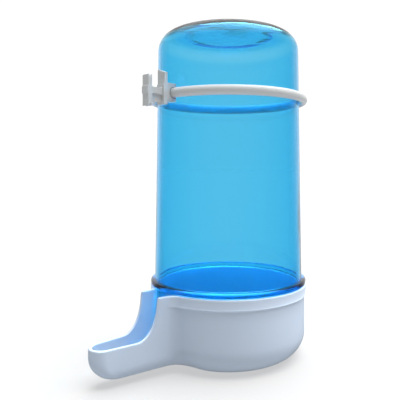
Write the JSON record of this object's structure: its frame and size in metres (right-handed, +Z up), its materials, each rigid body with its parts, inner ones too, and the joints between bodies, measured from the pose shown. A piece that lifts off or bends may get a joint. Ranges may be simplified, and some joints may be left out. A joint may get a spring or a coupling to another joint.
{
  "type": "siphon water drinker",
  "caption": "Upright siphon drinker: clear closed tube standing in a cup with an open drinking spout, and a hoop with an H-shaped clip that hangs it on cage wire.",
  "frame": {"origin": "centre of the cup's flat underside, on the tube's axis", "axes": "+Z up along the tube's axis; -Y from the axis towards the drinking spout's tip; +X to the right of that, seen from the spout"},
  "size_m": [0.081, 0.116, 0.1634],
  "materials": {
    "base_white": "satin moulded, cool white",
    "clear_blue": "polished, transparent blue tint",
    "holder_white": "satin moulded white"
  },
  "bodies": {
    "base": {"base": "base_white"},
    "reservoir": {"reservoir": "clear_blue"},
    "holder_hoop": {"holder_hoop": "holder_white"},
    "cage_clip": {"cage_clip": "holder_white"}
  },
  "joints": [
    {"name": "reservoir_lift", "type": "slide", "parent": "base", "child": "reservoir", "axis": [0, 0, 1], "range_m": [0, 0.04]},
    {"name": "hoop_slide", "type": "slide", "parent": "reservoir", "child": "holder_hoop", "axis": [0, 0, 1], "range_m": [0, 0.045]},
    {"name": "clip_turn", "type": "hinge", "parent": "holder_hoop", "child": "cage_clip", "pos_m": [0, 0, 0.1287], "axis": [0, 0, 1], "continuous": true}
  ]
}
